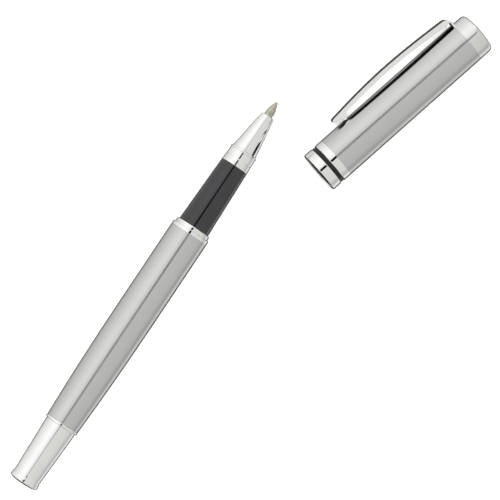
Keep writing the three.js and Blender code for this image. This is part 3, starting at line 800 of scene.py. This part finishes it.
def black_lacquer():
    """Black lacquer under a clear coat: dust and wiping marks show in the roughness."""
    material, tree, shader, place = blank(
        "black_lacquer", Coat_Weight=1.0, Coat_Roughness=0.04, Coat_IOR=1.68,
        Specular_IOR_Level=0.0)
    smudge = use(tree, "handling", Place=place, Scale=140.0)
    lines = use(tree, "hairlines", Place=place, Amount=0.2)
    colour_of(tree, shader, blend(tree, smudge, (0.003, 0.003, 0.004), (0.005, 0.005, 0.007)))
    rough(tree, shader, total(tree, lines, scaled(tree, smudge, 0.08), 0.12))
    return material


def black_enamel():
    """Dull black enamel in the cap's groove: it mirrors little, and less where dust lies in it."""
    material, tree, shader, place = blank("black_enamel", Specular_IOR_Level=0.22)
    dust = use(tree, "handling", Place=place, Scale=300.0)
    colour_of(tree, shader, blend(tree, dust, (0.006, 0.006, 0.006), (0.012, 0.012, 0.011)))
    rough(tree, shader, total(tree, scaled(tree, dust, 0.1), 0.12))
    return material


def turned_metal(name, dark, light, roughness, spacing, depth):
    """Bare metal as the lathe left it: rings in colour, roughness and height, bright edges."""
    material, tree, shader, place = blank(name, Metallic=1.0)
    around = spacing / MARKS_DRAWN_OUT
    marks = use(tree, "marks", Place=place, Spacing=spacing, Around=around)
    smudge = use(tree, "handling", Place=place, Scale=220.0)
    wear = use(tree, "wear", Place=place, Rim=stored(tree, "rim"))
    base = blend(tree, scaled(tree, smudge, 0.6), blend(tree, marks, dark, light), dark)
    bright = tuple(min(1.0, WORN_BRIGHTER * c) for c in light)
    colour_of(tree, shader, blend(tree, wear, base, bright))
    value = total(tree, scaled(tree, marks, 0.08), scaled(tree, smudge, 0.06), roughness)
    rough(tree, shader, value)
    bumps(tree, shader, marks, depth)
    return material


def moulded_plastic(name, dark, light, roughness, depth):
    """Injection moulded plastic: a faint grain, flow marks and slightly polished edges."""
    material, tree, shader, place = blank(name, Specular_IOR_Level=0.45)
    grain = noise(tree, place, 9000.0, 3.0)
    flow = use(tree, "handling", Place=place, Scale=130.0)
    colour_of(tree, shader, blend(tree, flow, dark, light))
    value = total(tree, scaled(tree, grain, 0.12), scaled(tree, flow, 0.06), roughness)
    polish = scaled(tree, stored(tree, "rim"), 0.1)
    rough(tree, shader, maths(tree, "SUBTRACT", value, polish))
    bumps(tree, shader, grain, depth)
    return material


def ink_fibre():
    """Felt soaked with ink: fibres drawn out along the axis."""
    material, tree, shader, place = blank("ink_fibre", Sheen_Weight=0.3, Sheen_Roughness=0.5)
    strands = noise(tree, stretched(tree, place, (500.0, 14000.0, 14000.0)), 1.0, 3.0)
    colour_of(tree, shader, blend(tree, strands, (0.008, 0.01, 0.022), (0.035, 0.042, 0.075)))
    rough(tree, shader, total(tree, scaled(tree, strands, 0.2), 0.7))
    bumps(tree, shader, strands, 0.04 * MM)
    return material


def finishes():
    """Each node's material and record slot."""
    brass = turned_metal("brass", dark=(0.62, 0.46, 0.19), light=(0.78, 0.6, 0.27),
                         roughness=0.2, spacing=4200.0, depth=0.003 * MM)
    steel = turned_metal("spring_steel", dark=(0.36, 0.36, 0.37), light=(0.5, 0.5, 0.51),
                         roughness=0.24, spacing=5000.0, depth=0.002 * MM)
    silver = turned_metal("nickel_silver", dark=(0.47, 0.46, 0.37), light=(0.6, 0.59, 0.48),
                          roughness=0.2, spacing=9000.0, depth=0.0012 * MM)
    ball = turned_metal("carbide", dark=(0.03, 0.03, 0.032), light=(0.045, 0.045, 0.048),
                        roughness=0.14, spacing=16000.0, depth=0.0006 * MM)
    white = moulded_plastic("white_plastic", dark=(0.78, 0.78, 0.75), light=(0.84, 0.84, 0.81),
                            roughness=0.38, depth=0.006 * MM)
    dark = moulded_plastic("dark_plastic", dark=(0.035, 0.036, 0.04), light=(0.055, 0.056, 0.06),
                           roughness=0.42, depth=0.008 * MM)
    chrome = polished_chrome("polished_chrome", light=(0.9, 0.9, 0.89), dark=(0.86, 0.862, 0.85))
    # Painted shade: the crown gets a darker copy of the polished chrome, so that it looks less lit.
    crown_chrome_painted_shade = polished_chrome("crown_chrome_painted_shade", light=(0.79, 0.79, 0.78),
                                   dark=(0.75, 0.752, 0.74))
    kinds = (
        ("satin_metal", satin_metal(), "barrel_tube cap_tube"),
        ("polished_chrome", chrome, "tail_sleeve tail_ring front_ring nose_collar nose_bead "
                                    "nose_cone lip_ring upper_ring clip_ring"),
        ("polished_chrome", crown_chrome_painted_shade, "crown"),
        ("polished_chrome", clip_chrome_painted_shade(), "clip"),
        ("black_lacquer", black_lacquer(), "grip_sleeve"),
        ("black_lacquer", black_enamel(), "black_ring"),
        ("brass", brass, "rear_bush barrel_insert section_core end_plug"),
        ("spring_steel", steel, "refill_spring crown_screw"),
        ("nickel_silver", silver, "refill_tip"),
        ("carbide", ball, "writing_ball"),
        ("white_plastic", white, "refill_tube"),
        ("dark_plastic", dark, "refill_plug refill_nose mouth_bush inner_cap"),
        ("ink_fibre", ink_fibre(), "ink_reservoir feed_rod"),
    )
    return {node: (material, slot) for slot, material, nodes in kinds for node in nodes.split()}


# ---- studio
def camera():
    """Looks down on the pen and its cap, a little off the vertical."""
    mouth = Vector((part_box("lip_ring")[0].x, *CAP.point[1:]))
    at, aim = mouth + Vector(CAMERA_AT), mouth + Vector(CAMERA_AIM)
    forward = (aim - at).normalized()
    top = Vector((math.sin(CAMERA_TURN), math.cos(CAMERA_TURN), 0))
    right = forward.cross(top).normalized()
    turned = Matrix((right, right.cross(forward), -forward)).transposed()
    data = bpy.data.cameras.new("camera")
    data.lens = CAMERA_LENS
    made = bpy.data.objects.new("camera", data)
    made.matrix_world = Matrix.Translation(at) @ turned.to_4x4()
    bpy.context.collection.objects.link(made)
    bpy.context.scene.camera = made


# Brightness of the studio round the line of the pen, from straight down on the left, over the top,
# to straight down on the right: degrees from the zenith, then red, green and blue.
STUDIO = (
    (-180, 0.04, 0.04, 0.04),
    (-156, 0.08, 0.08, 0.08),
    (-144, 0.45, 0.45, 0.45),
    (-128, 0.72, 0.72, 0.72),
    (-106, 0.83, 0.83, 0.82),
    (-74, 0.98, 0.98, 0.97),
    (-40, 1.13, 1.13, 1.12),
    (-24, 1.09, 1.09, 1.08),
    (-13, 0.96, 0.96, 0.95),
    (4, 0.79, 0.79, 0.775),
    (74, 0.73, 0.73, 0.71),
    (90, 0.64, 0.64, 0.62),
    (101, 0.5, 0.5, 0.49),
    (112, 0.6, 0.6, 0.59),
    (121, 0.87, 0.87, 0.87),
    (136, 0.84, 0.84, 0.84),
    (147, 0.1, 0.1, 0.1),
    (180, 0.03, 0.03, 0.03),
)
SLIT_AT = math.radians(-1.3)            # between the two overhead screens
SLIT_HALF = math.radians(5.8)
SLIT_SOFT = 0.15                        # share of its half width over which its sides fade
SLIT_REAR = math.radians(6.2)           # past these the slit narrows to a seam
SLIT_FRONT = math.radians(8.7)
SLIT_END_SOFT = 0.04
SEAM_HALF = math.radians(2.6)
SEAM_SOFT = 0.5
SEAM_SHADE = 0.5
SEAM_ENDS = (0.5, 0.7)                  # where it fades out, both ways along the pen
BACKDROP = (0.93, 0.93, 0.925)


def beyond(tree, value, edge, softness, start=0.0):
    """Grows from start to 1 as the value passes an edge, over a share of it to either side."""
    return between(tree, value, edge * (1 - softness), edge * (1 + softness), start)


def studio():
    """Two white screens overhead with a dark slit between them for the camera, as a world."""
    world = bpy.data.worlds.new("studio")
    bpy.context.scene.world = world
    world.use_nodes = True
    tree = world.node_tree
    look = add(tree, "ShaderNodeTexCoord").outputs["Generated"]
    along = PEN.axes[0] + CAP.axes[0]
    turn = -math.atan2(along[1], along[0])
    look = stretched(tree, look, (1, 1, 1), (0, 0, turn))
    x, y, z = add(tree, "ShaderNodeSeparateXYZ", Vector=look).outputs
    angle = maths(tree, "ARCTAN2", scaled(tree, y, -1.0), z)
    ramp = tree.nodes.new("ShaderNodeValToRGB")
    turns = maths(tree, "DIVIDE", angle, 2 * math.pi)
    plug(tree, maths(tree, "ADD", turns, 0.5), ramp.inputs[0])
    stops = ramp.color_ramp.elements
    while len(stops) < len(STUDIO):
        stops.new(0.5)
    for stop, (degrees, *colour) in zip(stops, STUDIO):
        stop.position = degrees / 360 + 0.5
        stop.color = (*colour, 1)
    off = maths(tree, "ABSOLUTE", maths(tree, "SUBTRACT", angle, SLIT_AT))
    beside = beyond(tree, off, SLIT_HALF, SLIT_SOFT)
    past = maths(tree, "MAXIMUM", beyond(tree, x, SLIT_FRONT, SLIT_END_SOFT),
                 beyond(tree, scaled(tree, x, -1.0), SLIT_REAR, SLIT_END_SOFT))
    slit = maths(tree, "MAXIMUM", beside, past)
    seam = maths(tree, "MAXIMUM", beyond(tree, off, SEAM_HALF, SEAM_SOFT, SEAM_SHADE),
                 between(tree, maths(tree, "ABSOLUTE", x), *SEAM_ENDS))
    lit = blend(tree, scaled(tree, slit, seam), (0.0, 0.0, 0.0), ramp.outputs[0])
    seen = add(tree, "ShaderNodeLightPath").outputs["Is Camera Ray"]
    tree.links.new(blend(tree, seen, lit, BACKDROP), tree.nodes["Background"].inputs["Color"])


def sun():
    """A broad lamp straight above. It lights the floor and plastics, and no metal mirrors it."""
    data = bpy.data.lights.new("overhead", "SUN")
    data.energy = SUN_STRENGTH
    data.angle = SUN_SPREAD
    made = bpy.data.objects.new("overhead", data)
    made.visible_glossy = False
    bpy.context.collection.objects.link(made)


def floor():
    """A plain pale floor, just below the lowest piece. The metal mirrors the studio instead."""
    half = FLOOR_SIZE / 2
    corners = [(-half, -half), (half, -half), (half, half), (-half, half)]
    mesh = bpy.data.meshes.new("floor")
    mesh.from_pydata([(x, y, cad_box[0].z - FLOOR_GAP) for x, y in corners], [], [(0, 1, 2, 3)])
    material = bpy.data.materials.new("pale_floor")
    material.use_nodes = True
    shader = material.node_tree.nodes["Principled BSDF"]
    shader.inputs["Base Color"].default_value = (*FLOOR_COLOUR, 1)
    shader.inputs["Roughness"].default_value = 0.9
    shader.inputs["Specular IOR Level"].default_value = 0.1
    mesh.materials.append(material)
    made = bpy.data.objects.new("floor", mesh)
    made.visible_glossy = False
    bpy.context.collection.objects.link(made)


camera()
studio()
sun()
floor()
bpy.context.scene.view_settings.view_transform = "Standard"

FINISHES = finishes()

writing_ball()
refill_spring()
clip()
nose_collar()
section_core()
turned_piece("refill_tip", edge=TIP_EDGE, shallow=TIP_SHALLOW)
lip_ring()
crown()
for plain in ("barrel_tube", "tail_sleeve", "tail_ring", "front_ring", "grip_sleeve", "nose_bead",
              "nose_cone", "black_ring", "upper_ring", "mouth_bush", "cap_tube"):
    turned_piece(plain)
for hidden in ("rear_bush", "barrel_insert", "refill_tube", "refill_plug", "ink_reservoir",
               "refill_nose", "feed_rod", "inner_cap", "end_plug", "crown_screw", "clip_ring"):
    turned_piece(hidden, facets=HIDDEN_FACETS)
